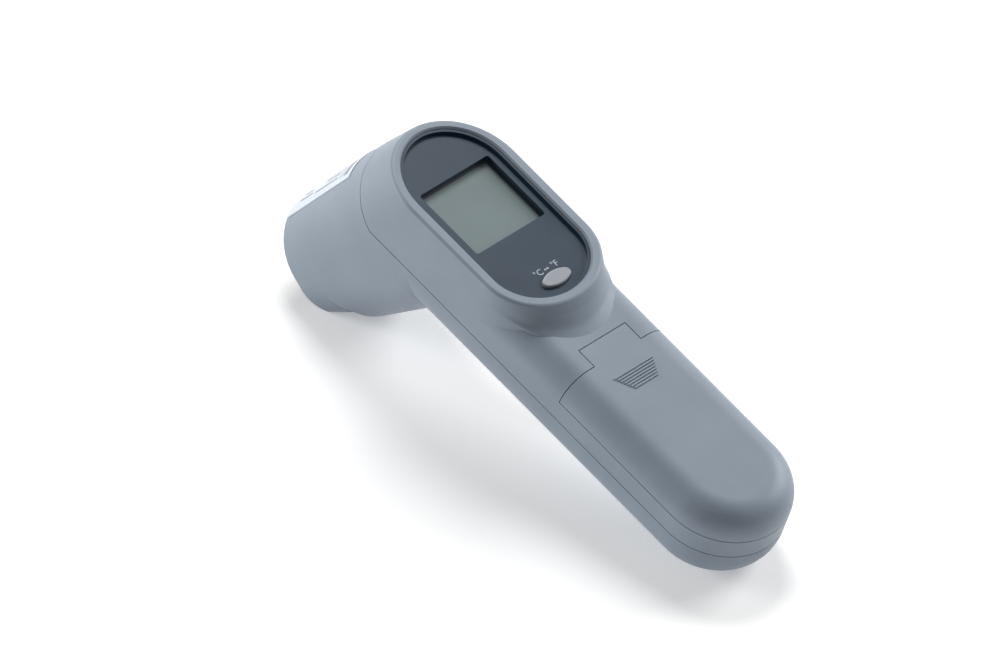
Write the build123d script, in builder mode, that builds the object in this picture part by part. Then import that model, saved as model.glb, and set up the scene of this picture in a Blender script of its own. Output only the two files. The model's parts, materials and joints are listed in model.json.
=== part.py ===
from build123d import *
import math
import os

# Infrared thermometer: a pistol-shaped case set down on the lower edge of its nose and on its
# tail. Millimetres; the row frame has its origin under the middle of the object on the surface
# it rests on, +X from nose to tail, +Y to the user's right and +Z up.
#
# Most of the design lives in the case frame: a runs along the handle towards the tail, s to
# the user's right, h out through the display. a = 0 is the centre of the display's round top,
# h = 0 is the parting plane between the front and rear shells. The barrel has its own pair:
# b forward along its axis and u up from that axis, towards the top of the barrel.

os.makedirs("parts", exist_ok=True)

# ---------------------------------------------------------------- driving dimensions
half_width = 19.5            # handle and head
wall = 2.0
seam_gap = 0.24              # reveal between the shells
handle_start = 2.0
tail_centre = 110.8          # centre of the round tail
handle_front = -14.0         # trigger side of the handle
handle_back = 14.8           # thumb side of the handle
front_round = 12.0
back_round = 8.5

lip_h = 20.4                 # top of the display housing
housing_end = 30.5           # where the housing's lower round begins
housing_skirt = [(2.0, 20.6), (14.8, 6.27), (20.4, 0.0)]  # height, and how far the round spreads
housing_flare = [(14.0, 11.0), (14.95, 8.6), (15.5, 6.6), (16.4, 4.9), (18.0, 2.7), (20.4, 0.0)]
panel_half = 16.15
panel_top_arc = 17.5
panel_low_arc = 14.1
lip_thick = 2.6
panel_h = (17.2, 18.6)       # underside and face of the display panel
deck_h = (15.8, 17.2)        # the rear shell's deck under the panel

barrel_angle = 25.4          # between the barrel and the display's normal
barrel_rise = 7.25           # barrel axis above the case frame's origin, along u
ring_b = 4.0                 # seam round the barrel
chin_b = 39.0                # where the underside starts to step up to the nose
crease_b = 42.3
rim_b = 50.3

door_a = 65.4                # upper edge of the battery door
door_h = 6.6                 # lower edge of the door's sides
tongue_a = 59.0
tongue_half = 8.7
door_gap = 0.25

ir_u = -2.0                  # infrared axis and laser axis, in the barrel's own frame
laser_u = 11.6

cell_r = 5.25                # AAA cell
cell_length = 44.5
cell_s = 5.6
cell_h = 4.5
spring_room = 4.2

trigger_pivot = (19.5, -9.0)

# ---------------------------------------------------------------- details of the case
lip_round = 1.0
rim_round = 0.8
tongue_inset = (1.1, 2.0)    # the seam's inner band, measured in from the outside
tongue_height = 1.4
seam_start = -7.0
lcd_opening_a = (-5.0, 24.0)
lcd_opening_s = (-14.6, 14.6)
key_opening_a = (34.8, 43.2)
key_opening_s = (-7.8, 7.8)
window_a = (-2.5, 21.0)
window_s = (-13.0, 13.0)
window_round = 0.8
panel_border = 0.8           # raised border round the panel, and its height
panel_border_h = 19.75
key_a = 39.0
key_size = (12.1, 4.8)
key_tip_round = 1.5
board_h = (8.0, 9.6)
board_bosses = [(-9.5, -11.0), (-9.5, 11.0), (31.5, -12.2), (31.5, 12.2)]
case_bosses = [(48.5, -13.3), (48.5, 13.3)]
boss_split = -0.3
screw_seat_h = -6.0
tail_shelf_h = (1.0, 3.0)
tail_shelf_a = 119.4
tail_boss = (123.3, 0)
post_r = 2.0                 # posts that carry the main board, and their pilot holes
post_pilot_r = 0.92
boss_r = 2.9                 # bosses that take the case screws
boss_foot_r = 3.6
boss_pilot_r = 1.12
shank_bore_r = 1.3
head_bore_r = 2.8
screw_hole_r = 1.1           # holes in the boards
face_gap = 0.02              # between faces that touch in the assembled case

trigger_slot_a = (21.0, 49.4)
trigger_slot_s = (-6.6, 6.6)
ear_inner = 6.8
pivot_r = 1.5
switch_board_h = (-5.2, -4.0)
switch_posts = [(25.5, -9.3), (42.5, 9.4)]

ridge_count = 7
ridge_start = 71.3
ridge_span = 5.2
ridge_ends = (7.2, 4.4)
rail_a = (69.0, 104.0)
# The door's ribs reach in to the first figure, the tray's flanges out to the second.
rail_s = (14.6, 16.2)
rail_h = (6.75, 7.7)
flange_h = (8.0, 9.0)
foam_thick = 2.0

lcd_a = (-4.8, 23.8)
lcd_half = 14.4
lcd_h = (13.5, 16.3)
frame_inner_a = (-3.6, 21.2)
zebra_a = (21.6, 23.4)
key_flange_h = (16.3, 17.12)
key_top_h = 19.6
plunger_h = 13.5
button_case_h = 13.0
bore_gap = 0.05

bezel_b = (46.0, 48.8)
lens_r = 8.6
lens_b = (44.7, 45.9)
tube_r = 9.6
tube_b = (21.0, 45.95)
cup_b = 43.7
block_b = (12.5, 20.9)
laser_b = (30.5, 43.5)
sensor_board_b = (10.2, 11.6)
label_b = (13.5, 49.2)
label_half = 10.0
label_thick = 0.2
barrel_top = 18.0

tray_a = (68.0, 117.4)
tray_half = 12.4
tray_wall = 1.2
plate_thick = 0.3
switch_case_h = -8.7
switch_plunger_h = -9.5
switch_a = 28.0
trigger_a = (21.4, 48.9)     # the trigger from its upper end to its lower end
trigger_half = 6.3
trigger_inner_h = -10.5
spring_a = 42.0

# ---------------------------------------------------------------- frames
sin_b = math.sin(math.radians(barrel_angle))
cos_b = math.cos(math.radians(barrel_angle))


def barrel_ah(b, u):
    """Case coordinates (a, h) of a point in the barrel's own frame."""
    rise = barrel_rise + u
    return (-sin_b * b - cos_b * rise, -cos_b * b + sin_b * rise)


# Each section across the barrel: half width, straight side, half of the flat bottom, depth.
sections = {
    ring_b: (half_width, 14.0, 6.75, 26.75),
    chin_b: (17.91, 5.0, 1.0, 22.3),
    crease_b: (17.76, 4.4, 12.0, 16.3),
    rim_b: (17.4, 4.0, 13.7, 12.9),
}
rim_half = sections[rim_b][0]
rim_depth = sections[rim_b][3]

# The case stands on the nose's lower edge and on the round front of the tail.
foot_a, foot_h = barrel_ah(rim_b, -rim_depth)
heel_a = tail_centre + half_width - front_round
heel_h = handle_front + front_round
reach = math.hypot(heel_a - foot_a, heel_h - foot_h)
tilt = math.atan2(heel_h - foot_h, heel_a - foot_a) - math.asin(front_round / reach)
sin_t = math.sin(tilt)
cos_t = math.cos(tilt)
top_a, top_h = barrel_ah(rim_b, rim_half)
nose_x = cos_t * top_a + sin_t * top_h
shoulder_a = tail_centre + half_width - back_round
shoulder_h = handle_back - back_round
tail_x = cos_t * shoulder_a + sin_t * shoulder_h + back_round
lift = sin_t * foot_a - cos_t * foot_h

base = Plane(
    origin=(-(nose_x + tail_x) / 2, 0, lift),
    x_dir=(cos_t, 0, -sin_t),
    z_dir=(sin_t, 0, cos_t),
)
forward = base.from_local_coords((-sin_b, 0, -cos_b)) - base.origin
up_axis = Axis(base.origin, base.z_dir)
forward_axis = Axis(base.origin, forward)
along_axis = Axis(base.origin, base.x_dir)


def level(h):
    """Sketch plane at height h: local x is a, local y is s, extrudes outwards."""
    return base.offset(h)


def side_view(s=0):
    """Sketch plane seen from the left: local x is a, local y is h, extrudes to the left."""
    return Plane(base.from_local_coords((0, s, 0)), x_dir=base.x_dir, z_dir=-base.y_dir)


def across(a):
    """Sketch plane across the handle: local x is s, local y is h, extrudes to the tail."""
    return Plane(base.from_local_coords((a, 0, 0)), x_dir=base.y_dir, z_dir=base.x_dir)


def barrel(b, u=0):
    """Sketch plane across the barrel: local x is -s, local y is u, extrudes forward."""
    a, h = barrel_ah(b, u)
    return Plane(base.from_local_coords((a, 0, h)), x_dir=-base.y_dir, z_dir=forward)


def save(piece, name):
    """Label one finished piece and write it as its own STEP file."""
    piece.part.label = name
    export_step(piece.part, f"parts/{name}.step")


def slab(a, s, h):
    """Rectangle between pairs of case coordinates a and s, drawn at height h."""
    with BuildSketch(level(h)) as sketch:
        with Locations(((a[0] + a[1]) / 2, (s[0] + s[1]) / 2)):
            Rectangle(a[1] - a[0], s[1] - s[0])
    return sketch.sketch


def disc(plane, radius, at=(0, 0)):
    """Circle on a plane."""
    with BuildSketch(plane) as sketch:
        with Locations(at):
            Circle(radius)
    return sketch.sketch


# ---------------------------------------------------------------- case volumes
def barrel_section(b, inset, at=None):
    """Section across the barrel, its walls moved in by inset."""
    half, side, flat, depth = sections[b]
    half -= inset
    depth -= inset
    flat = max(flat - 0.4 * inset, 0.5)
    with BuildSketch(barrel(b if at is None else at)) as sketch:
        with BuildLine():
            ThreePointArc((half, 0), (0, half), (-half, 0))
            Line((-half, 0), (-half, -side))
            TangentArc((-half, -side), (-flat, -depth), tangent=(0, -1))
            Line((-flat, -depth), (flat, -depth))
            TangentArc((half, -side), (flat, -depth), tangent=(0, -1))
            Line((half, -side), (half, 0))
        make_face()
    return sketch.sketch


def housing_round(h, spread, inset):
    """Lower round of the display housing at height h, wider than at the lip by spread."""
    half = half_width - inset
    low_arc = panel_low_arc + lip_thick + spread - inset
    with BuildSketch(level(h)) as sketch:
        with BuildLine():
            EllipticalCenterArc((housing_end, 0), low_arc, half, start_angle=-90, arc_size=180)
            Line((housing_end, half), (housing_end, -half))
        make_face()
    return sketch.sketch


def handle_outline(h, inset, start=handle_start):
    """Plan of the handle: straight sides and a round tail."""
    half = half_width - inset
    with BuildSketch(level(h)) as sketch:
        with Locations(((tail_centre + start) / 2, 0)):
            Rectangle(tail_centre - start, 2 * half)
        with Locations((tail_centre, 0)):
            Circle(half)
    return sketch.sketch


def case_volume(inset, top_h, extend=0.0):
    """The closed outer form of the whole case, every wall moved in by inset."""
    half = half_width - inset
    with BuildPart() as volume:
        depth = handle_back - handle_front - 2 * inset
        extrude(handle_outline(handle_front + inset, inset), amount=depth)
        back_edges = volume.edges().group_by(up_axis)[-1].sort_by(along_axis)[1:]
        fillet(back_edges, back_round - inset)
        front_edges = volume.edges().group_by(up_axis)[0].sort_by(along_axis)[1:]
        fillet(front_edges, front_round - inset)

        extrude(slab((4, housing_end), (-half, half), -2), amount=top_h + 2)
        skirt = [(h, spread) for h, spread in housing_skirt if h <= top_h]
        loft([housing_round(h, spread, inset) for h, spread in skirt], ruled=True)
        # Only the outside flares smoothly: the hollow behind it keeps the plain skirt.
        if inset == 0:
            loft([housing_round(h, spread, 0) for h, spread in housing_flare])
        extrude(barrel_section(ring_b, inset), amount=-38)
        extrude(slab((-50, 70), (-40, 40), top_h), amount=40, mode=Mode.SUBTRACT)

        stations = [barrel_section(b, inset) for b in (ring_b, chin_b, crease_b)]
        loft(stations + [barrel_section(rim_b, inset, at=rim_b + extend)], ruled=True)
    return volume


with BuildPart() as case_form:
    add(case_volume(0, lip_h).part)
    fillet(case_form.faces().sort_by(up_axis)[-1].edges(), lip_round)
    fillet(case_form.faces().sort_by(forward_axis)[-1].edges(), rim_round)

with BuildPart() as case_wall:
    add(case_form.part)
    add(case_volume(wall, deck_h[0], extend=1.0).part, mode=Mode.SUBTRACT)


def rear_zone(gap):
    """Side view of all that belongs to the rear shell, its lower border moved in by gap."""
    corner = (-(ring_b - gap + cos_b * gap) / sin_b, gap)
    ring_top = (corner[0] - 60 * cos_b, corner[1] + 60 * sin_b)
    with BuildSketch(side_view()) as sketch:
        with BuildLine():
            Polyline(corner, ring_top, (0, 90), (150, 90), (150, gap), close=True)
        make_face()
        fillet(sketch.vertices().sort_by(Axis.Y)[:2].sort_by(Axis.X)[0], 3)
    return sketch.sketch


def seam_tongue(grow):
    """Band inside the wall that backs the handle's seam, grown all round by grow."""
    height = tongue_height + 2 * grow + 1
    start = seam_start - 2 * grow
    with BuildPart() as band:
        extrude(handle_outline(-1, tongue_inset[0] - grow, start), amount=height)
        hollow = handle_outline(-1, tongue_inset[1] + grow, start - 10)
        extrude(hollow, amount=height, mode=Mode.SUBTRACT)
    return band.part


def ring_tongue(grow):
    """Band inside the wall that backs the seam round the barrel, grown all round by grow."""
    length = tongue_height + 2 * grow
    with BuildPart() as band:
        section = barrel_section(ring_b, tongue_inset[0] - grow, at=ring_b + 1)
        extrude(section, amount=-length - 1)
        core = barrel_section(ring_b, tongue_inset[1] + grow, at=ring_b + 1)
        extrude(core, amount=-length - 1, mode=Mode.SUBTRACT)
        with BuildSketch(barrel(ring_b + 2, 1.8 - 2 * grow)) as lower:
            with Locations((0, -30)):
                Rectangle(80, 60)
        extrude(lower.sketch, amount=-length - 4, mode=Mode.SUBTRACT)
    return band.part


def panel_outline(h, inset):
    """Plan of the display panel, moved in by inset."""
    half = panel_half - inset
    with BuildSketch(level(h)) as sketch:
        with BuildLine():
            EllipticalCenterArc((0, 0), panel_top_arc - inset, half, start_angle=90, arc_size=180)
            Line((0, -half), (housing_end, -half))
            low_arc = panel_low_arc - inset
            EllipticalCenterArc((housing_end, 0), low_arc, half, start_angle=-90, arc_size=180)
            Line((housing_end, half), (0, half))
        make_face()
    return sketch.sketch


def key_outline(h, grow):
    """Slim oval of the unit key: two arcs whose meeting tips are rounded off."""
    half = key_size[0] / 2 + grow
    rise = key_size[1] / 2 + grow
    with BuildSketch(level(h)) as sketch:
        with BuildLine():
            ThreePointArc((key_a, -half), (key_a - rise, 0), (key_a, half))
            ThreePointArc((key_a, half), (key_a + rise, 0), (key_a, -half))
        make_face()
        fillet(sketch.vertices(), key_tip_round + grow)
    return sketch.sketch


def door_zone(gap):
    """Space taken by the battery door, grown by gap on every side that meets the shell."""
    with BuildPart() as zone:
        extrude(slab((door_a - gap, 150), (-30, 30), door_h - gap), amount=30)
        tongue_s = tongue_half + gap
        extrude(slab((tongue_a - gap, door_a), (-tongue_s, tongue_s), door_h), amount=30)
    return zone.part


def tail_shelf():
    """Shelf across the round tail that takes the tail screw."""
    depth = tail_shelf_h[1] - tail_shelf_h[0]
    with BuildPart() as shelf:
        extrude(handle_outline(tail_shelf_h[0], tongue_inset[1] + 0.1), amount=depth)
        extrude(slab((0, tail_shelf_a), (-30, 30), 0), amount=5, mode=Mode.SUBTRACT)
        extrude(handle_outline(1.7, 1.4, tail_centre), amount=tail_shelf_h[1] - 1.7)
        extrude(slab((0, tail_shelf_a), (-30, 30), 0), amount=5, mode=Mode.SUBTRACT)
    return shelf.part


with BuildPart() as rear_shell:
    add(case_wall.part)
    extrude(rear_zone(seam_gap / 2), amount=40, both=True, mode=Mode.INTERSECT)
    extrude(panel_outline(panel_h[0], 0), amount=10, mode=Mode.SUBTRACT)
    lip_edges = rear_shell.faces().sort_by(up_axis)[-1].inner_wires()[0].edges()
    chamfer(lip_edges, 0.5)
    deep = deck_h[0] - 1
    extrude(slab(lcd_opening_a, lcd_opening_s, deep), amount=4, mode=Mode.SUBTRACT)
    extrude(slab(key_opening_a, key_opening_s, deep), amount=4, mode=Mode.SUBTRACT)
    add(door_zone(door_gap), mode=Mode.SUBTRACT)
    add(seam_tongue(0.1), mode=Mode.SUBTRACT)
    add(ring_tongue(0.1), mode=Mode.SUBTRACT)
    for centre in board_bosses:
        post = disc(level(board_h[1] + face_gap), post_r, centre)
        extrude(post, amount=deck_h[0] - board_h[1])
        extrude(disc(level(board_h[1]), post_pilot_r, centre), amount=5, mode=Mode.SUBTRACT)
    for centre in case_bosses:
        post = disc(level(boss_split + face_gap), boss_r, centre)
        extrude(post, amount=handle_back - wall - boss_split + 0.2)
        extrude(disc(level(boss_split), boss_pilot_r, centre), amount=8, mode=Mode.SUBTRACT)
    add(tail_shelf())
    extrude(disc(level(0), shank_bore_r, tail_boss), amount=6, mode=Mode.SUBTRACT)
save(rear_shell, "rear_shell")

with BuildPart() as front_shell:
    add(case_wall.part)
    extrude(rear_zone(-seam_gap / 2), amount=40, both=True, mode=Mode.SUBTRACT)
    add(seam_tongue(0))
    add(ring_tongue(0))
    extrude(slab(trigger_slot_a, trigger_slot_s, handle_front - 2), amount=5, mode=Mode.SUBTRACT)
    floor_h = handle_front + wall
    for side in (-1, 1):
        ear_s = sorted((side * ear_inner, side * (ear_inner + 2.0)))
        ear_a = (trigger_pivot[0] - 2.8, trigger_pivot[0] + 2.8)
        extrude(slab(ear_a, ear_s, floor_h - 0.4), amount=trigger_pivot[1] + 2.8 - floor_h + 0.4)
    extrude(disc(side_view(), pivot_r + 0.05, trigger_pivot), amount=12, both=True, mode=Mode.SUBTRACT)
    for centre in switch_posts:
        height = switch_board_h[0] - face_gap - floor_h
        extrude(disc(level(floor_h - 0.3), post_r - 0.1, centre), amount=height + 0.3)
        extrude(disc(level(switch_board_h[0] - 4), post_pilot_r, centre), amount=5, mode=Mode.SUBTRACT)
    for centre in case_bosses:
        extrude(disc(level(handle_front), boss_foot_r, centre), amount=boss_split - handle_front)
    tail_post_height = tail_shelf_h[0] - face_gap - handle_front
    extrude(disc(level(handle_front), boss_r - 0.1, tail_boss), amount=tail_post_height)
    add(case_form.part, mode=Mode.INTERSECT)
    for centre in case_bosses:
        extrude(disc(level(handle_front - 1), shank_bore_r, centre), amount=20, mode=Mode.SUBTRACT)
        depth = screw_seat_h - handle_front + 1
        extrude(disc(level(handle_front - 1), head_bore_r, centre), amount=depth, mode=Mode.SUBTRACT)
    extrude(disc(level(tail_shelf_h[0] - 9), boss_pilot_r, tail_boss), amount=10, mode=Mode.SUBTRACT)
save(front_shell, "front_shell")

# ---------------------------------------------------------------- battery door
with BuildPart() as battery_door:
    add(case_wall.part)
    add(door_zone(0), mode=Mode.INTERSECT)
    for index in range(ridge_count):
        share = index / (ridge_count - 1)
        ridge_a = ridge_start + share * ridge_span
        ridge_half = ridge_ends[0] + share * (ridge_ends[1] - ridge_ends[0])
        stripe = slab((ridge_a, ridge_a + 0.45), (-ridge_half, ridge_half), handle_back - 0.2)
        extrude(stripe, amount=0.55)
    for side in (-1, 1):
        rib_s = sorted((side * rail_s[0], side * (half_width - wall + 0.2)))
        extrude(slab(rail_a, rib_s, rail_h[0]), amount=rail_h[1] - rail_h[0])
save(battery_door, "battery_door")

with BuildPart() as door_foam:
    foam_h = handle_back - wall - face_gap
    extrude(slab((80, 104), (-7, 7), foam_h - foam_thick), amount=foam_thick)
save(door_foam, "door_foam")

# ---------------------------------------------------------------- display
with BuildPart() as display_panel:
    extrude(panel_outline(panel_h[0] + face_gap, 0.1), amount=panel_border_h - panel_h[0] - face_gap)
    extrude(panel_outline(panel_h[1], 0.1 + panel_border), amount=5, mode=Mode.SUBTRACT)
    with BuildSketch(level(panel_h[0] - 1)) as window:
        with Locations(((window_a[0] + window_a[1]) / 2, (window_s[0] + window_s[1]) / 2)):
            width = window_s[1] - window_s[0]
            RectangleRounded(window_a[1] - window_a[0], width, window_round)
    extrude(window.sketch, amount=4, mode=Mode.SUBTRACT)
    extrude(key_outline(panel_h[0] - 1, 0.15), amount=4, mode=Mode.SUBTRACT)
save(display_panel, "display_panel")

with BuildPart() as lcd_module:
    extrude(slab(lcd_a, (-lcd_half, lcd_half), lcd_h[0]), amount=lcd_h[1] - lcd_h[0])
    chamfer(lcd_module.edges().group_by(up_axis)[-1], 0.3)
save(lcd_module, "lcd_module")

with BuildPart() as lcd_holder:
    holder_h = (board_h[1] + face_gap, lcd_h[0] - face_gap)
    holder_depth = holder_h[1] - holder_h[0]
    extrude(slab((lcd_a[0] - 0.6, lcd_a[1] + 0.8), (-14.6, 14.6), holder_h[0]), amount=holder_depth)
    extrude(slab(frame_inner_a, (-13.2, 13.2), 0), amount=30, mode=Mode.SUBTRACT)
    zebra_slot = (zebra_a[0] - 0.05, zebra_a[1] + 0.05)
    extrude(slab(zebra_slot, (-13.0, 13.0), 0), amount=30, mode=Mode.SUBTRACT)
    for centre in board_bosses:
        extrude(disc(level(0), 2.3, centre), amount=30, mode=Mode.SUBTRACT)
save(lcd_holder, "lcd_holder")

with BuildPart() as zebra_strip:
    extrude(slab(zebra_a, (-12.9, 12.9), holder_h[0]), amount=holder_depth)
save(zebra_strip, "zebra_strip")

# ---------------------------------------------------------------- unit key and its switch
with BuildPart() as unit_button:
    extrude(key_outline(key_flange_h[0], 0), amount=key_top_h - key_flange_h[0])
    fillet(unit_button.edges().group_by(up_axis)[-1], 0.5)
    flange = slab((key_a - 3.6, key_a + 3.6), (-7.0, 7.0), key_flange_h[0])
    extrude(flange, amount=key_flange_h[1] - key_flange_h[0])
    extrude(disc(level(plunger_h + face_gap), 1.5, (key_a, 0)), amount=key_flange_h[0] - plunger_h)
save(unit_button, "unit_button")

with BuildPart() as unit_switch:
    case_a = (key_a - 2.8, key_a + 2.8)
    case_height = button_case_h - board_h[1] - face_gap
    extrude(slab(case_a, (-3, 3), board_h[1] + face_gap), amount=case_height)
    chamfer(unit_switch.edges().group_by(up_axis)[-1], 0.3)
    extrude(disc(level(11.3), 1.7 + bore_gap, (key_a, 0)), amount=5, mode=Mode.SUBTRACT)
save(unit_switch, "unit_switch")

with BuildPart() as unit_switch_plunger:
    extrude(disc(level(12.0), 1.7, (key_a, 0)), amount=plunger_h - 12.0)
save(unit_switch_plunger, "unit_switch_plunger")

# ---------------------------------------------------------------- main board
with BuildPart() as main_board:
    extrude(slab((-13, 42), (-14.8, 14.8), board_h[0]), amount=board_h[1] - board_h[0])
    fillet(main_board.edges().filter_by(up_axis), 1.5)
    for centre in board_bosses:
        extrude(disc(level(0), screw_hole_r, centre), amount=20, mode=Mode.SUBTRACT)
save(main_board, "main_board")


def below_board(a, s, thick):
    """Component soldered to the underside of the main board."""
    return extrude(slab(a, s, board_h[0] - face_gap - thick), amount=thick)


with BuildPart() as main_chip:
    below_board((4, 14), (-2, 8), 1.3)
    chamfer(main_chip.edges().group_by(up_axis)[0], 0.3)
save(main_chip, "main_chip")

with BuildPart() as memory_chip:
    below_board((19, 24), (2, 6), 1.5)
    chamfer(memory_chip.edges().group_by(up_axis)[0], 0.2)
save(memory_chip, "memory_chip")

with BuildPart() as capacitors:
    for centre in ((-6, 6), (22, -9)):
        extrude(disc(level(board_h[0] - 5.52), 2.5, centre), amount=5.5)
    fillet(capacitors.edges().group_by(up_axis)[0], 0.4)
save(capacitors, "capacitors")

with BuildPart() as buzzer:
    extrude(disc(level(board_h[0] - 4.52), 6.0, (34, -4)), amount=4.5)
    fillet(buzzer.edges().group_by(up_axis)[0], 0.5)
    extrude(disc(level(board_h[0] - 5), 1.2, (34, -4)), amount=2, mode=Mode.SUBTRACT)
save(buzzer, "buzzer")


def screw(centre, seat, tip, head_r, shank_r, head_thick, upward=True):
    """Pan-head screw with a cross slot; its head bears on height seat."""
    way = 1 if upward else -1
    with BuildPart() as fastener:
        extrude(disc(level(seat), head_r, centre), amount=-way * head_thick)
        fillet(fastener.edges().group_by(up_axis)[0 if upward else -1], head_thick * 0.4)
        extrude(disc(level(seat), shank_r, centre), amount=tip - seat)
        top = seat - way * head_thick
        for size in ((head_r * 1.2, head_r * 0.3), (head_r * 0.3, head_r * 1.2)):
            with BuildSketch(level(top)) as slot:
                with Locations(centre):
                    Rectangle(*size)
            extrude(slot.sketch, amount=way * head_thick * 0.5, mode=Mode.SUBTRACT)
    return fastener.part


with BuildPart() as board_screws:
    for centre in board_bosses:
        add(screw(centre, board_h[0] - face_gap, 13.8, 1.8, 0.9, 1.1))
save(board_screws, "board_screws")

with BuildPart() as case_screws:
    for centre in case_bosses:
        add(screw(centre, screw_seat_h - face_gap, 5.5, 2.5, 1.1, 1.7))
save(case_screws, "case_screws")

with BuildPart() as tail_screw:
    add(screw(tail_boss, tail_shelf_h[1] + face_gap, -5.0, 2.5, 1.1, 1.6, upward=False))
save(tail_screw, "tail_screw")

# ---------------------------------------------------------------- trigger
with BuildPart() as trigger:
    with BuildSketch(side_view()) as side:
        with BuildLine():
            upper = (trigger_a[0], -14.6)
            lower = (trigger_a[1], -14.9)
            ThreePointArc(upper, (34.0, -17.9), lower)
            Polyline(lower, (lower[0], trigger_inner_h), (upper[0], trigger_inner_h), upper)
        make_face()
    extrude(side.sketch, amount=trigger_half, both=True)
    outer_edges = trigger.edges().filter_by(GeomType.CIRCLE)
    fillet(outer_edges, 1.6)
    with BuildSketch(side_view()) as arm:
        with BuildLine():
            Polyline((16.9, -11.3), (16.9, -7.2), (22.0, -7.2), (26.0, trigger_inner_h), (26.0, -12.0))
            Polyline((26.0, -12.0), (trigger_a[0], -12.0), (trigger_a[0], -11.3), (16.9, -11.3))
        make_face()
    extrude(arm.sketch, amount=trigger_half, both=True)
    extrude(disc(side_view(), pivot_r, trigger_pivot), amount=ear_inner + 1.7, both=True)
    pusher = slab((switch_a - 1.1, switch_a + 1.1), (-1.4, 1.4), trigger_inner_h - 0.2)
    extrude(pusher, amount=switch_plunger_h - trigger_inner_h + 0.1)
    stop_h = handle_front + wall + 0.05
    extrude(slab((48.0, 51.2), (-5.0, 5.0), stop_h), amount=1.3)
save(trigger, "trigger")

with BuildPart() as switch_board:
    thick = switch_board_h[1] - switch_board_h[0]
    extrude(slab((23, 50), (-11.4, 11.4), switch_board_h[0]), amount=thick)
    fillet(switch_board.edges().filter_by(up_axis), 1.2)
    for centre in case_bosses:
        extrude(disc(level(-20), 4.1, centre), amount=30, mode=Mode.SUBTRACT)
    for centre in switch_posts:
        extrude(disc(level(-20), screw_hole_r, centre), amount=30, mode=Mode.SUBTRACT)
save(switch_board, "switch_board")

with BuildPart() as switch_board_screws:
    for centre in switch_posts:
        add(screw(centre, switch_board_h[1] + face_gap, -8.6, 1.8, 0.9, 1.1, upward=False))
save(switch_board_screws, "switch_board_screws")

with BuildPart() as trigger_switch:
    case_top = switch_board_h[0] - face_gap
    case_a = (switch_a - 3, switch_a + 3)
    extrude(slab(case_a, (-3, 3), switch_case_h), amount=case_top - switch_case_h)
    chamfer(trigger_switch.edges().group_by(up_axis)[0], 0.3)
    extrude(disc(level(-10), 1.7 + bore_gap, (switch_a, 0)), amount=3.2, mode=Mode.SUBTRACT)
save(trigger_switch, "trigger_switch")

with BuildPart() as trigger_switch_plunger:
    extrude(disc(level(switch_plunger_h), 1.7, (switch_a, 0)), amount=1.9)
save(trigger_switch_plunger, "trigger_switch_plunger")


def coil(plane, radius, wire, pitch, height):
    """Compression spring that stands on a plane, its wire clear of both ends."""
    room = 1.4 * wire
    with BuildPart() as spring:
        with BuildLine() as path:
            length = height - 2 * room
            foot = plane.offset(room).origin
            turns = Helix(pitch, length, radius, center=foot, direction=plane.z_dir)
        start = Plane(turns @ 0, z_dir=turns % 0)
        sweep(disc(start, wire), path=path.line, is_frenet=True)
    return spring.part


def stand(a, s, h):
    """Plane parallel to the display, standing on a point."""
    return Plane(base.from_local_coords((a, s, h)), x_dir=base.x_dir, z_dir=base.z_dir)


with BuildPart() as trigger_spring:
    spring_length = switch_board_h[0] - trigger_inner_h
    add(coil(stand(spring_a, 0, trigger_inner_h), 2.2, 0.25, 1.2, spring_length))
save(trigger_spring, "trigger_spring")

# ---------------------------------------------------------------- nose
with BuildPart() as nose_bezel:
    back_section = barrel_section(crease_b, wall + 0.15)
    loft([back_section, barrel_section(rim_b, wall + 0.15, at=rim_b + 1)], ruled=True)
    plug = disc(barrel(bezel_b[0]), 60)
    extrude(plug, amount=bezel_b[1] - bezel_b[0], mode=Mode.INTERSECT)
    extrude(disc(barrel(bezel_b[0], ir_u), lens_r - 0.7), amount=4, taper=-30, mode=Mode.SUBTRACT)
    extrude(disc(barrel(bezel_b[0], laser_u), 1.4), amount=4, mode=Mode.SUBTRACT)
    extrude(disc(barrel(bezel_b[0], laser_u), 2.05), amount=1.0, mode=Mode.SUBTRACT)
    extrude(disc(barrel(bezel_b[1] - 0.7, laser_u), 1.4), amount=1, taper=-50, mode=Mode.SUBTRACT)
save(nose_bezel, "nose_bezel")

with BuildPart() as laser_window:
    extrude(disc(barrel(bezel_b[0] + face_gap, laser_u), 2.0), amount=0.9)
save(laser_window, "laser_window")

with BuildPart() as ir_lens:
    lens_depth = lens_b[1] - lens_b[0]
    extrude(disc(barrel(lens_b[0], ir_u), lens_r), amount=lens_depth)
    dome = 40.0
    with Locations(Location(barrel(lens_b[1] - dome, ir_u).origin)):
        Sphere(dome, mode=Mode.INTERSECT)
save(ir_lens, "ir_lens")

with BuildPart() as lens_retainer:
    depth = lens_b[0] - face_gap - cup_b - face_gap
    extrude(disc(barrel(cup_b + face_gap, ir_u), lens_r), amount=depth)
    extrude(disc(barrel(cup_b, ir_u), lens_r - 1.2), amount=depth + 1, mode=Mode.SUBTRACT)
save(lens_retainer, "lens_retainer")

with BuildPart() as sensor_tube:
    extrude(disc(barrel(tube_b[0], ir_u), tube_r), amount=tube_b[1] - tube_b[0])
    for groove_b in (26.0, 30.0):
        groove = disc(barrel(groove_b, ir_u), tube_r + 1)
        extrude(groove, amount=1.5, mode=Mode.SUBTRACT)
        extrude(disc(barrel(groove_b - 0.2, ir_u), tube_r - 0.8), amount=1.9)
    loft([disc(barrel(tube_b[0], ir_u), 3.2), disc(barrel(cup_b, ir_u), 7.2)], mode=Mode.SUBTRACT)
    extrude(disc(barrel(cup_b, ir_u), lens_r + 0.05), amount=5, mode=Mode.SUBTRACT)
save(sensor_tube, "sensor_tube")

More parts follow.
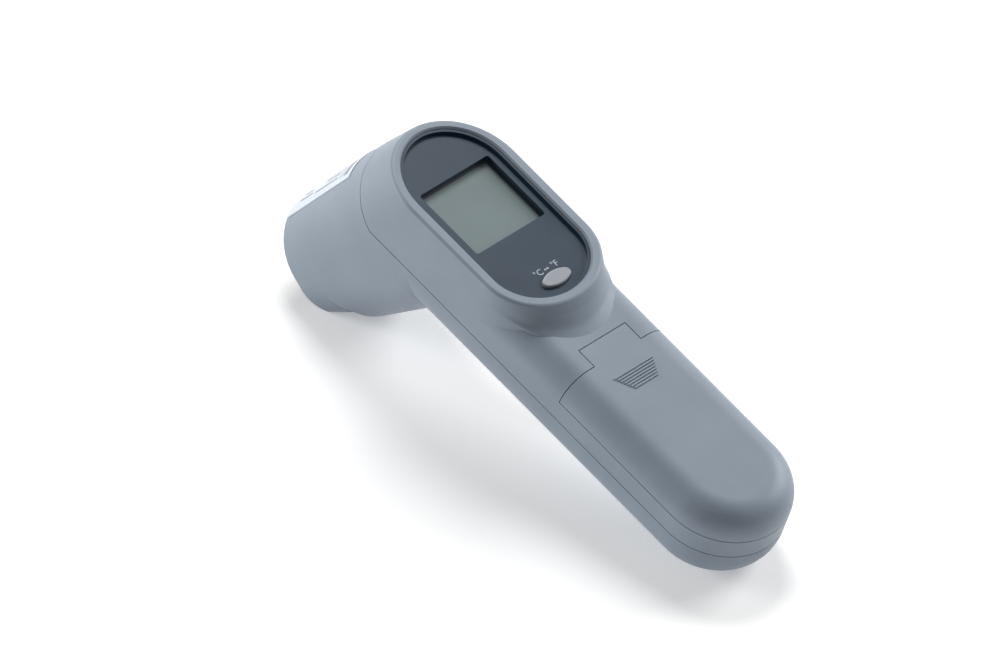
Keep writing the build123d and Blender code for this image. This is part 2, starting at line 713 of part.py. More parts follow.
with BuildPart() as sensor_block:
    extrude(disc(barrel(block_b[0], ir_u), 6.5), amount=block_b[1] - block_b[0])
    fillet(sensor_block.edges().group_by(forward_axis)[0], 0.6)
    extrude(disc(barrel(block_b[0] + 2, ir_u), 2.95), amount=9, mode=Mode.SUBTRACT)
    extrude(disc(barrel(block_b[0], ir_u), 1.7), amount=9, mode=Mode.SUBTRACT)
save(sensor_block, "sensor_block")

with BuildPart() as thermopile_sensor:
    can_b = block_b[0] + 2.02
    extrude(disc(barrel(can_b, ir_u), 2.9), amount=0.5)
    extrude(disc(barrel(can_b, ir_u), 2.3), amount=3.4)
    fillet(thermopile_sensor.edges().group_by(forward_axis)[-1], 0.3)
    extrude(disc(barrel(can_b + 3.2, ir_u), 1.3), amount=0.5, mode=Mode.SUBTRACT)
    with BuildSketch(barrel(can_b, ir_u)) as pins:
        with PolarLocations(1.1, 4, start_angle=45):
            Circle(0.22)
    extrude(pins.sketch, amount=-2.7)
save(thermopile_sensor, "thermopile_sensor")

with BuildPart() as sensor_board:
    with BuildSketch(barrel(sensor_board_b[0], ir_u)) as outline:
        RectangleRounded(18, 16, 1.5)
        with GridLocations(13, 11, 2, 2):
            Circle(1.0, mode=Mode.SUBTRACT)
    extrude(outline.sketch, amount=sensor_board_b[1] - sensor_board_b[0])
save(sensor_board, "sensor_board")

with BuildPart() as laser_module:
    extrude(disc(barrel(laser_b[0], laser_u), 3.0), amount=laser_b[1] - laser_b[0])
    chamfer(laser_module.edges().filter_by(GeomType.CIRCLE), 0.3)
    extrude(disc(barrel(laser_b[1] - 0.1, laser_u), 1.7), amount=2.4)
    extrude(disc(barrel(laser_b[1] + 1, laser_u), 1.0), amount=3, mode=Mode.SUBTRACT)
save(laser_module, "laser_module")

with BuildPart() as laser_clamp:
    extrude(disc(barrel(33.5, laser_u), 3.9), amount=6)
    with BuildSketch(barrel(33.5, laser_u)) as foot:
        with Locations((0, -2.8)):
            Rectangle(9, 2.1)
    extrude(foot.sketch, amount=6)
    extrude(disc(barrel(33, laser_u), 3.03), amount=8, mode=Mode.SUBTRACT)
    extrude(disc(barrel(33, ir_u), tube_r + 0.05), amount=8, mode=Mode.SUBTRACT)
save(laser_clamp, "laser_clamp")

with BuildPart() as barrel_label:
    cover = (ring_b, chin_b, crease_b)
    loft([barrel_section(b, -label_thick) for b in cover], ruled=True)
    loft([barrel_section(b, -label_thick) for b in (crease_b, rim_b)], ruled=True)
    with BuildSketch(barrel(label_b[0], barrel_top)) as outline:
        Rectangle(2 * label_half, 12)
    extrude(outline.sketch, amount=label_b[1] - label_b[0], mode=Mode.INTERSECT)
    loft([barrel_section(b, -0.01) for b in cover], ruled=True, mode=Mode.SUBTRACT)
    front_part = [barrel_section(b, -0.01) for b in (crease_b, rim_b)]
    loft(front_part, ruled=True, mode=Mode.SUBTRACT)
save(barrel_label, "barrel_label")

# ---------------------------------------------------------------- battery compartment
with BuildPart() as battery_tray:
    tray_floor = cell_h - cell_r - 0.15
    outside_a = (tray_a[0] - tray_wall, tray_a[1] + tray_wall)
    outside_s = tray_half + tray_wall
    block_height = door_h + 0.5 - tray_floor
    extrude(slab(outside_a, (-outside_s, outside_s), tray_floor - 1.5), amount=block_height)
    well = slab(tray_a, (-tray_half, tray_half), tray_floor)
    extrude(well, amount=20, mode=Mode.SUBTRACT)
    for side in (-1, 1):
        wall_s = sorted((side * tray_half, side * outside_s))
        extrude(slab((tray_a[0], rail_a[1] + 8), wall_s, 0), amount=flange_h[1])
        flange_s = sorted((side * tray_half, side * rail_s[1]))
        flange = slab((rail_a[0], rail_a[1] + 8), flange_s, flange_h[0])
        extrude(flange, amount=flange_h[1] - flange_h[0])
    extrude(slab((72, 113), (-0.3, 0.3), tray_floor), amount=1.2)
save(battery_tray, "battery_tray")


def cell(s, way):
    """AAA cell lying along the handle; way is +1 when its positive cap faces the tail."""
    nub_end = tray_a[1] - plate_thick - 0.05 if way > 0 else tray_a[0] + plate_thick + 0.05
    middle = cell_h
    with BuildPart() as body:
        tip = across(nub_end)
        extrude(disc(tip, 1.9, (s, middle)), amount=-way * 1.2)
        shoulder = across(nub_end - way * 1.0)
        extrude(disc(shoulder, cell_r, (s, middle)), amount=-way * (cell_length - 1.0))
        ends = [edge for edge in body.edges().filter_by(GeomType.CIRCLE) if edge.radius > 5]
        fillet(ends, 0.5)
    return body.part


with BuildPart() as battery_1:
    add(cell(-cell_s, 1))
save(battery_1, "battery_1")

with BuildPart() as battery_2:
    add(cell(cell_s, -1))
save(battery_2, "battery_2")


def contact(a, s):
    """Nickelled contact plate across the compartment, standing on its floor."""
    bottom = tray_floor + 0.05
    plate = extrude(slab((a, a + plate_thick - face_gap), s, bottom), amount=cell_h + 3.6 - bottom)
    return plate


head_plate_a = tray_a[0] + face_gap
with BuildPart() as negative_contact:
    contact(head_plate_a, (-cell_s - 4.4, -cell_s + 4.4))
save(negative_contact, "negative_contact")

with BuildPart() as positive_contact:
    contact(head_plate_a, (cell_s - 4.4, cell_s + 4.4))
save(positive_contact, "positive_contact")

with BuildPart() as bridge_contact:
    contact(tray_a[1] - plate_thick, (-cell_s - 4.4, cell_s + 4.4))
save(bridge_contact, "bridge_contact")


def seat(a, s, way):
    """Plane on a contact plate that a cell's spring stands on."""
    return Plane(base.from_local_coords((a, s, cell_h)), x_dir=base.y_dir, z_dir=base.x_dir * way)


with BuildPart() as negative_spring:
    spring_foot = seat(tray_a[0] + plate_thick, -cell_s, 1)
    add(coil(spring_foot, 3.4, 0.3, 1.25, spring_room))
save(negative_spring, "negative_spring")

with BuildPart() as bridge_spring:
    spring_foot = seat(tray_a[1] - plate_thick, cell_s, -1)
    add(coil(spring_foot, 3.4, 0.3, 1.25, spring_room))
save(bridge_spring, "bridge_spring")

# ---------------------------------------------------------------- wiring
def lead(points, radius=0.65, bends=3.0):
    """Insulated wire along case coordinates, with round bends."""
    places = [base.from_local_coords(point) for point in points]
    with BuildPart() as wire:
        with BuildLine() as path:
            route = FilletPolyline(*places, radius=bends)
        sweep(disc(Plane(route @ 0, z_dir=route % 0), radius), path=path.line)
    return wire.part


with BuildPart() as battery_leads:
    for side in (-1, 1):
        s = side * 9.0
        foot_h = tray_floor + 1.0
        start = (tray_a[0] - tray_wall - 0.1, s, foot_h)
        add(lead([start, (58, s, foot_h), (51, s, 8.8), (42.1, s, 8.8)]))
save(battery_leads, "battery_leads")

with BuildPart() as switch_leads:
    for s in (-1.2, 1.2):
        start = (40, s, switch_board_h[1] + 0.1)
        route = [start, (40, s, 0), (45, s, 3.5), (45, s, 8.8), (42.1, s, 8.8)]
        add(lead(route, 0.4, 1.2))
save(switch_leads, "switch_leads")
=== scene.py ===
import json
import math

import bmesh
import bpy
from mathutils import Matrix, Vector
from mathutils.bvhtree import BVHTree


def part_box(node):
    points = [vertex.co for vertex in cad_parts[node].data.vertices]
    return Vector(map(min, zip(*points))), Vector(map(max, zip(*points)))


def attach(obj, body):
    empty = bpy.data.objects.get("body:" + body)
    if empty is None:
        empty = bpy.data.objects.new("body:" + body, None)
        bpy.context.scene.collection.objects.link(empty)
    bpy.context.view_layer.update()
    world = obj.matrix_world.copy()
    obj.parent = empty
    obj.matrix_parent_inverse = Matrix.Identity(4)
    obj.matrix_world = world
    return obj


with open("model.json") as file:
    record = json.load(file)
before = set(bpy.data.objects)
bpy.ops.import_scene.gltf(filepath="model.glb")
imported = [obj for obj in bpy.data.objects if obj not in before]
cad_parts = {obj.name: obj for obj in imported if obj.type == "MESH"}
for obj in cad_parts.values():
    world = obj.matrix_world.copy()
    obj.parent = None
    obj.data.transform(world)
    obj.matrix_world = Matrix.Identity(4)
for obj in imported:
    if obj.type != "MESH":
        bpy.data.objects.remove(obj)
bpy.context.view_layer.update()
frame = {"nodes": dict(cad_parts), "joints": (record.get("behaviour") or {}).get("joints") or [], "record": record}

scene = bpy.context.scene
nodes = frame["nodes"]

# ---------------------------------------------------------------- the case's own axes
# along runs down the handle to the tail, side to the user's right, out through the display.
joints = {joint["name"]: joint for joint in frame["joints"]}
along = Vector(joints["battery_door_slide"]["axis"]).normalized()
out = -Vector(joints["unit_key_press"]["axis"]).normalized()
side = Vector((0.0, 1.0, 0.0))
MM = 0.001
BARREL_LEAN = math.radians(25.4)
forward = -math.sin(BARREL_LEAN) * along - math.cos(BARREL_LEAN) * out
barrel_up = -math.cos(BARREL_LEAN) * along + math.sin(BARREL_LEAN) * out


def along_range(node, axis):
    """Lowest and highest reach of a CAD node along a direction."""
    reach = [vertex.co.dot(axis) for vertex in nodes[node].data.vertices]
    return min(reach), max(reach)


# The panel's upper end and the top of its raised border fix the origin of the case frame.
PANEL_BORDER = 19.75
PANEL_FACE = 18.6
PANEL_TOP_ARC = 17.4
border_top = along_range("display_panel", out)[1]
panel_start = along_range("display_panel", along)[0]
origin = (panel_start + MM * PANEL_TOP_ARC) * along + (border_top - MM * PANEL_BORDER) * out


def at(a, s, h):
    """Point in the row frame from case coordinates in millimetres."""
    return origin + MM * (a * along + s * side + h * out)


# ---------------------------------------------------------------- shader helpers
class Shader:
    """A material with small helpers for wiring procedural nodes."""

    def __init__(self, name, color, roughness, metallic=0.0, coat=0.0, ior=1.46):
        self.material = bpy.data.materials.new(name)
        self.material.use_nodes = True
        self.tree = self.material.node_tree
        self.bsdf = self.tree.nodes["Principled BSDF"]
        self.bsdf.inputs["Base Color"].default_value = (*color, 1.0)
        self.bsdf.inputs["Roughness"].default_value = roughness
        self.bsdf.inputs["Metallic"].default_value = metallic
        self.bsdf.inputs["Coat Weight"].default_value = coat
        self.bsdf.inputs["IOR"].default_value = ior
        self.coords = self.node("ShaderNodeTexCoord").outputs["Object"]

    def node(self, kind, **settings):
        made = self.tree.nodes.new(kind)
        for key, value in settings.items():
            setattr(made, key, value)
        return made

    def link(self, source, target):
        self.tree.links.new(source, target)

    def noise(self, scale, detail=3.0, rough=0.5, vector=None):
        made = self.node("ShaderNodeTexNoise")
        made.inputs["Scale"].default_value = scale
        made.inputs["Detail"].default_value = detail
        made.inputs["Roughness"].default_value = rough
        self.link(vector or self.coords, made.inputs["Vector"])
        return made.outputs["Fac"]

    def voronoi(self, scale):
        made = self.node("ShaderNodeTexVoronoi")
        made.inputs["Scale"].default_value = scale
        self.link(self.coords, made.inputs["Vector"])
        return made.outputs["Distance"]

    def ramp(self, value, low, high):
        """Black below low, white above high."""
        made = self.node("ShaderNodeValToRGB")
        made.color_ramp.elements[0].position = low
        made.color_ramp.elements[1].position = high
        self.link(value, made.inputs["Fac"])
        return made.outputs["Color"]

    def spread(self, value, low, high):
        made = self.node("ShaderNodeMapRange")
        made.inputs["To Min"].default_value = low
        made.inputs["To Max"].default_value = high
        self.link(value, made.inputs["Value"])
        return made.outputs["Result"]

    def math(self, operation, first, second):
        made = self.node("ShaderNodeMath", operation=operation)
        for socket, value in zip(made.inputs, (first, second)):
            if isinstance(value, (int, float)):
                socket.default_value = value
            else:
                self.link(value, socket)
        return made.outputs["Value"]

    def mix(self, factor, first, second):
        """Colour mix: the first input is the factor, the seventh and eighth are the colours."""
        made = self.node("ShaderNodeMix", data_type="RGBA")
        inputs = made.inputs
        for socket, value in ((inputs[0], factor), (inputs[6], first), (inputs[7], second)):
            if isinstance(value, tuple):
                socket.default_value = (*value, 1.0)
            else:
                self.link(value, socket)
        return made.outputs[2]

    def bump(self, height, distance, strength, under=None):
        made = self.node("ShaderNodeBump")
        made.inputs["Distance"].default_value = distance
        made.inputs["Strength"].default_value = strength
        self.link(height, made.inputs["Height"])
        if under is not None:
            self.link(under, made.inputs["Normal"])
        return made.outputs["Normal"]

    def edge_wear(self):
        """How rubbed a convex edge is, broken up by fine noise."""
        geometry = self.node("ShaderNodeNewGeometry")
        worn = self.ramp(geometry.outputs["Pointiness"], 0.56, 0.66)
        return self.math("MULTIPLY", worn, self.spread(self.noise(900.0), 0.2, 1.0))

    def use(self, socket, value):
        self.link(value, self.bsdf.inputs[socket])


def moulded(name, color, roughness, grain=2600.0, depth=0.00002, wear=0.25):
    """Spark-textured moulded plastic: fine grain, faint mottling and rubbed edges."""
    shader = Shader(name, color, roughness)
    fine = shader.voronoi(grain)
    finer = shader.noise(grain * 2.3, 2.0)
    cloud = shader.noise(55.0, 4.0, 0.55)
    shade = tuple(channel * 0.93 for channel in color)
    tint = shader.mix(shader.ramp(cloud, 0.35, 0.65), shade, color)
    rubbed = tuple(min(channel * 1.18 + 0.01, 1.0) for channel in color)
    worn = shader.math("MULTIPLY", shader.edge_wear(), wear)
    shader.use("Base Color", shader.mix(worn, tint, rubbed))
    patches = shader.noise(130.0, 5.0)
    shader.use("Roughness", shader.spread(patches, roughness - 0.06, roughness + 0.08))
    normal = shader.bump(fine, depth, 0.55)
    shader.use("Normal", shader.bump(finer, depth * 0.6, 0.4, under=normal))
    return shader.material


def smooth_plastic(name, color, roughness, coat=0.0):
    """Polished moulding with faint flow marks and fine scuffs."""
    shader = Shader(name, color, roughness, coat=coat)
    scuffs = shader.noise(220.0, 6.0, 0.7)
    shader.use("Roughness", shader.spread(scuffs, roughness - 0.04, roughness + 0.07))
    cloud = shader.ramp(shader.noise(70.0), 0.3, 0.7)
    shader.use("Base Color", shader.mix(cloud, tuple(0.95 * c for c in color), color))
    shader.use("Normal", shader.bump(shader.noise(1500.0, 2.0), 0.000006, 0.4))
    return shader.material


def metal(name, color, roughness, grain=700.0):
    """Machined or drawn metal with directional grain and stains."""
    shader = Shader(name, color, roughness, metallic=1.0)
    stretch = shader.node("ShaderNodeMapping")
    stretch.inputs["Scale"].default_value = (1.0, 1.0, 12.0)
    shader.link(shader.coords, stretch.inputs["Vector"])
    streaks = shader.noise(grain, 4.0, 0.6, vector=stretch.outputs["Vector"])
    shader.use("Roughness", shader.spread(streaks, roughness - 0.08, roughness + 0.12))
    stain = shader.ramp(shader.noise(160.0), 0.4, 0.7)
    shader.use("Base Color", shader.mix(stain, tuple(0.85 * c for c in color), color))
    shader.use("Normal", shader.bump(streaks, 0.000008, 0.5))
    return shader.material


materials = {
    "shell": moulded("case_plastic", (0.222, 0.268, 0.322), 0.46),
    "key": moulded("key_plastic", (0.30, 0.325, 0.36), 0.38, grain=3000.0),
    "trigger_plastic": moulded("trigger_plastic", (0.030, 0.036, 0.048), 0.5),
    "panel": moulded(
        "panel_plastic", (0.012, 0.033, 0.058), 0.36, grain=3400.0, depth=0.00001, wear=0.1
    ),
    "bezel": moulded("bezel_plastic", (0.022, 0.026, 0.034), 0.48),
    "inner_plastic": moulded("inner_plastic", (0.020, 0.020, 0.022), 0.5),
    "chip": moulded("chip_epoxy", (0.016, 0.016, 0.018), 0.42),
    "switch_plunger": smooth_plastic("switch_nylon", (0.35, 0.03, 0.02), 0.4),
    "rubber": moulded("silicone", (0.03, 0.03, 0.032), 0.6),
    "foam": moulded("foam", (0.025, 0.025, 0.028), 0.85, grain=1500.0, depth=0.0001),
    "screw_steel": metal("zinc_steel", (0.50, 0.51, 0.53), 0.32),
    "spring_steel": metal("spring_wire", (0.58, 0.59, 0.60), 0.28),
    "contact_nickel": metal("nickel_strip", (0.66, 0.65, 0.62), 0.22),
    "brass": metal("turned_brass", (0.72, 0.50, 0.20), 0.26),
    "sensor_metal": metal("machined_alloy", (0.62, 0.63, 0.65), 0.34),
    "wire": smooth_plastic("wire_sleeve", (0.28, 0.02, 0.02), 0.38),
    "label": smooth_plastic("label_film", (0.50, 0.56, 0.63), 0.35, coat=0.2),
    "window": smooth_plastic("window_glass", (0.10, 0.02, 0.02), 0.08, coat=1.0),
    "lens": smooth_plastic("milky_lens", (0.66, 0.69, 0.70), 0.34),
    "lcd": smooth_plastic("lcd_glass", (0.205, 0.255, 0.262), 0.16, coat=0.5),
}
extra = {
    "ink": smooth_plastic("label_ink", (0.17, 0.20, 0.25), 0.4),
    "mark": smooth_plastic("unit_ink", (0.42, 0.49, 0.53), 0.4),
    "mask": smooth_plastic("lcd_mask", (0.075, 0.088, 0.11), 0.3),
    "can": metal("cell_can", (0.62, 0.62, 0.60), 0.25),
    "band": smooth_plastic("cell_band", (0.50, 0.34, 0.10), 0.24, coat=0.5),
}


def circuit_board():
    """Solder mask over copper tracks, a brick pattern in two greens."""
    shader = Shader("circuit_board", (0.01, 0.10, 0.045), 0.3, coat=0.3)
    brick = shader.node("ShaderNodeTexBrick")
    brick.inputs["Scale"].default_value = 260.0
    brick.inputs["Mortar Size"].default_value = 0.06
    shader.link(shader.coords, brick.inputs["Vector"])
    tracks = shader.mix(brick.outputs["Fac"], (0.01, 0.085, 0.04), (0.03, 0.20, 0.09))
    shader.use("Base Color", tracks)
    shader.use("Normal", shader.bump(brick.outputs["Fac"], 0.00003, 0.6))
    return shader.material


materials["circuit_board"] = circuit_board()
materials["cell_jacket"] = smooth_plastic("cell_jacket", (0.045, 0.06, 0.10), 0.24, coat=0.5)

# Every CAD node takes its slot's material; the cells are bare metal under their sleeves.
CELLS = ("battery_1", "battery_2")
for entry in frame["record"]["subparts"]:
    mesh = nodes[entry["node"]].data
    mesh.materials.clear()
    bare = entry["node"] in CELLS
    mesh.materials.append(extra["can"] if bare else materials[entry["material_slot"]])


# ---------------------------------------------------------------- pieces made here
def piece(name, mesh, material, smooth=True):
    """Put a finished mesh in the scene, on the case."""
    made = bpy.data.objects.new(name, mesh)
    scene.collection.objects.link(made)
    mesh.materials.append(material)
    for face in mesh.polygons:
        face.use_smooth = smooth
    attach(made, "case")


def finished(work, name):
    """Close a bmesh: no doubled points, normals outwards."""
    bmesh.ops.remove_doubles(work, verts=work.verts, dist=1e-7)
    bmesh.ops.recalc_face_normals(work, faces=work.faces)
    mesh = bpy.data.meshes.new(name)
    work.to_mesh(mesh)
    work.free()
    return mesh


def lathe(name, profile, foot, axis, segments=72):
    """Solid of revolution: a closed profile of radius and height in millimetres, about an axis."""
    sideways = axis.orthogonal().normalized()
    upright = axis.cross(sideways)
    work = bmesh.new()
    rings = []
    for step in range(segments):
        angle = 2 * math.pi * step / segments
        spoke = math.cos(angle) * sideways + math.sin(angle) * upright
        rings.append([work.verts.new(foot + MM * (r * spoke + t * axis)) for r, t in profile])
    for step in range(segments):
        here, there = rings[step], rings[(step + 1) % segments]
        for index in range(len(profile)):
            following = (index + 1) % len(profile)
            if profile[index][0] == 0 and profile[following][0] == 0:
                continue
            corners = (here[index], there[index], there[following], here[following])
            work.faces.new(corners)
    bmesh.ops.dissolve_degenerate(work, dist=1e-8, edges=work.edges)
    return finished(work, name)


def rounded(a, s, radius):
    """Corners of a round-cornered rectangle in case coordinates, in order."""
    steps = 8
    corners = []
    turns = ((a[1], s[1], 0), (a[0], s[1], 90), (a[0], s[0], 180), (a[1], s[0], 270))
    for corner_a, corner_s, start in turns:
        way_a = 1 if corner_a == a[1] else -1
        way_s = 1 if corner_s == s[1] else -1
        for step in range(steps + 1):
            angle = math.radians(start + 90 * step / steps)
            centre_a = corner_a - way_a * radius
            centre_s = corner_s - way_s * radius
            corners.append((centre_a + radius * math.cos(angle), centre_s + radius * math.sin(angle)))
    return corners


def frame_ring(name, outer, inner, low, high):
    """Flat frame between two outlines with the same number of corners."""
    work = bmesh.new()
    loops = []
    for outline, h in ((outer, low), (outer, high), (inner, high), (inner, low)):
        loops.append([work.verts.new(at(a, s, h)) for a, s in outline])
    count = len(outer)
    for index in range(4):
        lower, upper = loops[index], loops[(index + 1) % 4]
        for step in range(count):
            after = (step + 1) % count
            work.faces.new((lower[step], lower[after], upper[after], upper[step]))
    return finished(work, name)


def flat_shape(name, outline, low, high):
    """Thin plate with the given outline in case coordinates."""
    work = bmesh.new()
    bottom = [work.verts.new(at(a, s, low)) for a, s in outline]
    top = [work.verts.new(at(a, s, high)) for a, s in outline]
    work.faces.new(bottom)
    work.faces.new(list(reversed(top)))
    for step in range(len(outline)):
        after = (step + 1) % len(outline)
        work.faces.new((bottom[step], bottom[after], top[after], top[step]))
    return finished(work, name)


# Printed border of the display glass, on its face.
BORDER_ROUND = 0.9
BORDER_LIFT = 0.01
BORDER_THICK = 0.11
lcd_top = (along_range("lcd_module", out)[1] - origin.dot(out)) / MM
border_outer = rounded((-2.9, 21.4), (-13.4, 13.4), BORDER_ROUND)
border_inner = rounded((-1.9, 20.5), (-12.5, 12.5), BORDER_ROUND)
border_foot = lcd_top + BORDER_LIFT
border = frame_ring("lcd_border", border_outer, border_inner, border_foot, border_foot + BORDER_THICK)
piece("lcd_border", border, extra["mask"], smooth=False)

# Unit mark above the key: the two unit signs with a two-headed arrow between them.
MARK_A = 35.1
MARK_HALF = 4.45
MARK_SIZE = 2.75
MARK_THICK = 0.03
MARK_FOOT = PANEL_FACE + 0.005
mark_frame = Matrix((side, -along, out)).transposed().to_4x4()


def unit_sign(name, text, s):
    """Unit sign printed on the panel, centred at s."""
    curve = bpy.data.curves.new(name, "FONT")
    curve.body = text
    curve.size = MARK_SIZE * MM
    curve.extrude = MARK_THICK * MM / 2
    curve.align_x = "CENTER"
    curve.align_y = "CENTER"
    draft = bpy.data.objects.new(name + "_draft", curve)
    scene.collection.objects.link(draft)
    bpy.context.view_layer.update()
    mesh = bpy.data.meshes.new_from_object(draft)
    bpy.data.objects.remove(draft)
    height = MARK_FOOT + MARK_THICK / 2
    mesh.transform(Matrix.Translation(at(MARK_A, s, height)) @ mark_frame)
    mesh.materials.clear()
    piece(name, mesh, extra["mark"], smooth=False)


unit_sign("unit_mark_c", "\u00b0C", -MARK_HALF + 1.45)
unit_sign("unit_mark_f", "\u00b0F", MARK_HALF - 1.35)
arrow_half = [(MARK_A + a, s) for s, a in ((0.85, 0.0), (0.40, 0.42), (0.40, 0.13))]
arrow = arrow_half + [(a, -s) for a, s in reversed(arrow_half)]
arrow += [(2 * MARK_A - a, s) for a, s in reversed(arrow[1:-1])]
arrow_mesh = flat_shape("unit_mark_arrow", arrow, MARK_FOOT, MARK_FOOT + MARK_THICK)
piece("unit_mark_arrow", arrow_mesh, extra["mark"], smooth=False)

# Ring grooves of the infrared lens, a shallow sawtooth on its outer face.
lens_low, lens_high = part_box("ir_lens")
lens_span = along_range("ir_lens", forward)
lens_centre = (lens_low + lens_high) / 2
lens_face = lens_centre + (lens_span[1] - lens_centre.dot(forward)) * forward
GROOVES = 11
GROOVE_PITCH = 0.62
GROOVE_DEPTH = 0.10
LENS_DOME = 40.0
HUB_R = 0.5
HUB_TOP = 0.02
PLATE_BACK = 0.25


def dome_drop(r):
    """How far the lens face falls back at radius r."""
    return r * r / (2 * LENS_DOME)


saw = [(0.0, -PLATE_BACK), (0.0, HUB_TOP), (HUB_R, HUB_TOP)]
for groove in range(GROOVES):
    near = HUB_R + groove * GROOVE_PITCH
    far = near + GROOVE_PITCH
    saw.append((near + 0.05, -dome_drop(near)))
    saw.append((far, GROOVE_DEPTH - dome_drop(far)))
saw.append((far + 0.03, -dome_drop(far) - PLATE_BACK))
piece("lens_grooves", lathe("lens_grooves", saw, lens_face, forward, 96), materials["lens"])

# Shrink sleeves of the two cells, dark with a warm band at the positive end.
CELL_R = 5.25
SKIN_R = CELL_R + 0.04
BAND_SHARE = 0.74
for node, way in zip(CELLS, (1, -1)):
    low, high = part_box(node)
    middle = (low + high) / 2
    ends = along_range(node, along)
    axis = way * along
    start = ends[0] if way > 0 else -ends[1]
    length = (ends[1] - ends[0]) / MM - 1.0
    mid_out = sum(along_range(node, out)) / 2
    foot = start * axis + middle.y * side + mid_out * out
    outside = [(4.6, -0.04), (5.05, 0.02), (SKIN_R - 0.05, 0.2), (SKIN_R, 0.5)]
    outside += [(r, length - t) for r, t in reversed(outside)]
    inside = [(CELL_R - 0.1, length - 0.5), (CELL_R - 0.1, 0.5)]
    sleeve = lathe("cell_sleeve_" + node[-1], outside + inside, foot, axis)
    piece("cell_sleeve_" + node[-1], sleeve, materials["cell_jacket"])
    band_start = BAND_SHARE * length
    collar = [(SKIN_R - 0.1, band_start), (SKIN_R + 0.03, band_start)]
    collar += [(r, length - 0.6) for r, _ in reversed(collar)]
    band = lathe("cell_band_" + node[-1], collar, foot, axis)
    piece("cell_band_" + node[-1], band, extra["band"])

# Plain printed bars on the barrel label, laid on its curved face.
label_mesh = nodes["barrel_label"].data
label_tree = BVHTree.FromPolygons(
    [vertex.co.copy() for vertex in label_mesh.vertices],
    [tuple(face.vertices) for face in label_mesh.polygons],
)
label_start = along_range("barrel_label", forward)[0]
BAR_SUNK = -0.05
BAR_LIFT = 0.02
RAY_START = 0.2
# Each bar's two ends along the barrel, then its two sides.
BARS = (
    (2.5, 5.0, -8.2, -1.5),
    (6.5, 7.1, -8.2, 8.0),
    (9.0, 22.0, -7.6, -6.9),
    (9.0, 17.0, -5.6, -4.9),
    (9.0, 20.0, -3.6, -2.9),
    (24.0, 31.0, -7.0, -6.3),
    (26.0, 30.0, -5.0, -4.3),
)


def on_label(b, s, lift):
    """Point on the label's face, b forward from its rear end and s to the side."""
    flat = (label_start + MM * b) * forward + MM * s * side
    hit, normal, _, _ = label_tree.ray_cast(flat + RAY_START * barrel_up, -barrel_up)
    return hit + MM * lift * normal


for number, (b0, b1, s0, s1) in enumerate(BARS, 1):
    work = bmesh.new()
    count_b = 2 + int((b1 - b0) / 2)
    count_s = 2 + int((s1 - s0) / 0.8)
    sheets = []
    for lift in (BAR_SUNK, BAR_LIFT):
        sheet = []
        for row in range(count_b):
            b = b0 + (b1 - b0) * row / (count_b - 1)
            spots = [s0 + (s1 - s0) * col / (count_s - 1) for col in range(count_s)]
            sheet.append([work.verts.new(on_label(b, s, lift)) for s in spots])
        sheets.append(sheet)
    for sheet in sheets:
        for row in range(count_b - 1):
            for col in range(count_s - 1):
                below, above = sheet[row], sheet[row + 1]
                work.faces.new((below[col], below[col + 1], above[col + 1], above[col]))
    rim = [(row, 0) for row in range(count_b)]
    rim += [(count_b - 1, col) for col in range(1, count_s)]
    rim += [(row, count_s - 1) for row in range(count_b - 2, -1, -1)]
    rim += [(0, col) for col in range(count_s - 2, 0, -1)]
    for step, (row, col) in enumerate(rim):
        next_row, next_col = rim[(step + 1) % len(rim)]
        work.faces.new((
            sheets[0][row][col],
            sheets[0][next_row][next_col],
            sheets[1][next_row][next_col],
            sheets[1][row][col],
        ))
    name = f"label_bar_{number}"
    piece(name, finished(work, name), extra["ink"], smooth=False)


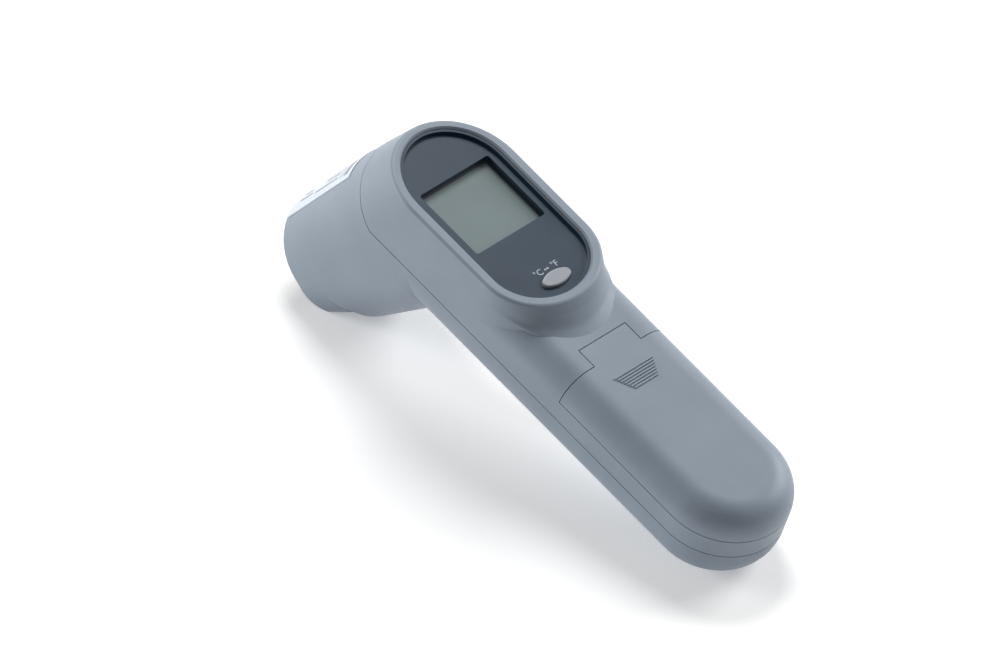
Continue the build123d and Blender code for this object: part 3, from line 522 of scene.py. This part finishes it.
# ---------------------------------------------------------------- stage, lights and camera
def floor():
    """Wide pale floor under the object."""
    mesh = bpy.data.meshes.new("floor")
    reach = 6.0
    corners = [(-reach, -reach, 0), (reach, -reach, 0), (reach, reach, 0), (-reach, reach, 0)]
    mesh.from_pydata(corners, [], [(0, 1, 2, 3)])
    made = bpy.data.objects.new("floor", mesh)
    scene.collection.objects.link(made)
    paint = Shader("floor_paint", (0.86, 0.86, 0.86), 0.7)
    paint.bsdf.inputs["Emission Color"].default_value = (1.0, 1.0, 1.0, 1.0)
    paint.bsdf.inputs["Emission Strength"].default_value = 0.3
    mesh.materials.append(paint.material)


floor()

world = bpy.data.worlds.new("studio")
scene.world = world
world.use_nodes = True
background = world.node_tree.nodes["Background"]
background.inputs["Color"].default_value = (1.0, 1.0, 1.0, 1.0)
background.inputs["Strength"].default_value = 0.2

LIGHT_AIM = Vector((0.0, 0.0, 0.03))


def area_light(name, place, size, power):
    """Round white softbox turned towards the object."""
    data = bpy.data.lights.new(name, "AREA")
    data.shape = "DISK"
    data.size = size
    data.energy = power
    made = bpy.data.objects.new(name, data)
    scene.collection.objects.link(made)
    made.location = place
    made.rotation_euler = (LIGHT_AIM - Vector(place)).to_track_quat("-Z", "Y").to_euler()


area_light("top_light", (-0.55, 0.45, 1.1), 0.6, 11.5)
area_light("left_light", (-1.15, -0.9, 0.42), 0.7, 13.5)
area_light("rim_light", (0.25, 1.25, 0.65), 0.8, 14.0)

# The camera stands beyond the tail and to the left of the handle, 41 degrees above level, far
# away with a very long lens, and is rolled slightly about its own line of sight.
CAMERA_DISTANCE = 8.0
VIEW_WIDTH = 0.270
toward = Vector((0.5009, -0.5610, 0.6591)).normalized()
right = Vector((0.7031, 0.7078, 0.0682))
right = (right - right.dot(toward) * toward).normalized()
top = toward.cross(right)
look_at = at(29.9, -2.0, -14.3)
optics = bpy.data.cameras.new("camera")
optics.sensor_width = 36.0
optics.lens = optics.sensor_width * CAMERA_DISTANCE / VIEW_WIDTH
optics.clip_start = 0.05
camera = bpy.data.objects.new("camera", optics)
scene.collection.objects.link(camera)
turn = Matrix((right, top, toward)).transposed().to_4x4()
camera.matrix_world = Matrix.Translation(look_at + CAMERA_DISTANCE * toward) @ turn
scene.camera = camera
scene.view_settings.view_transform = "Standard"
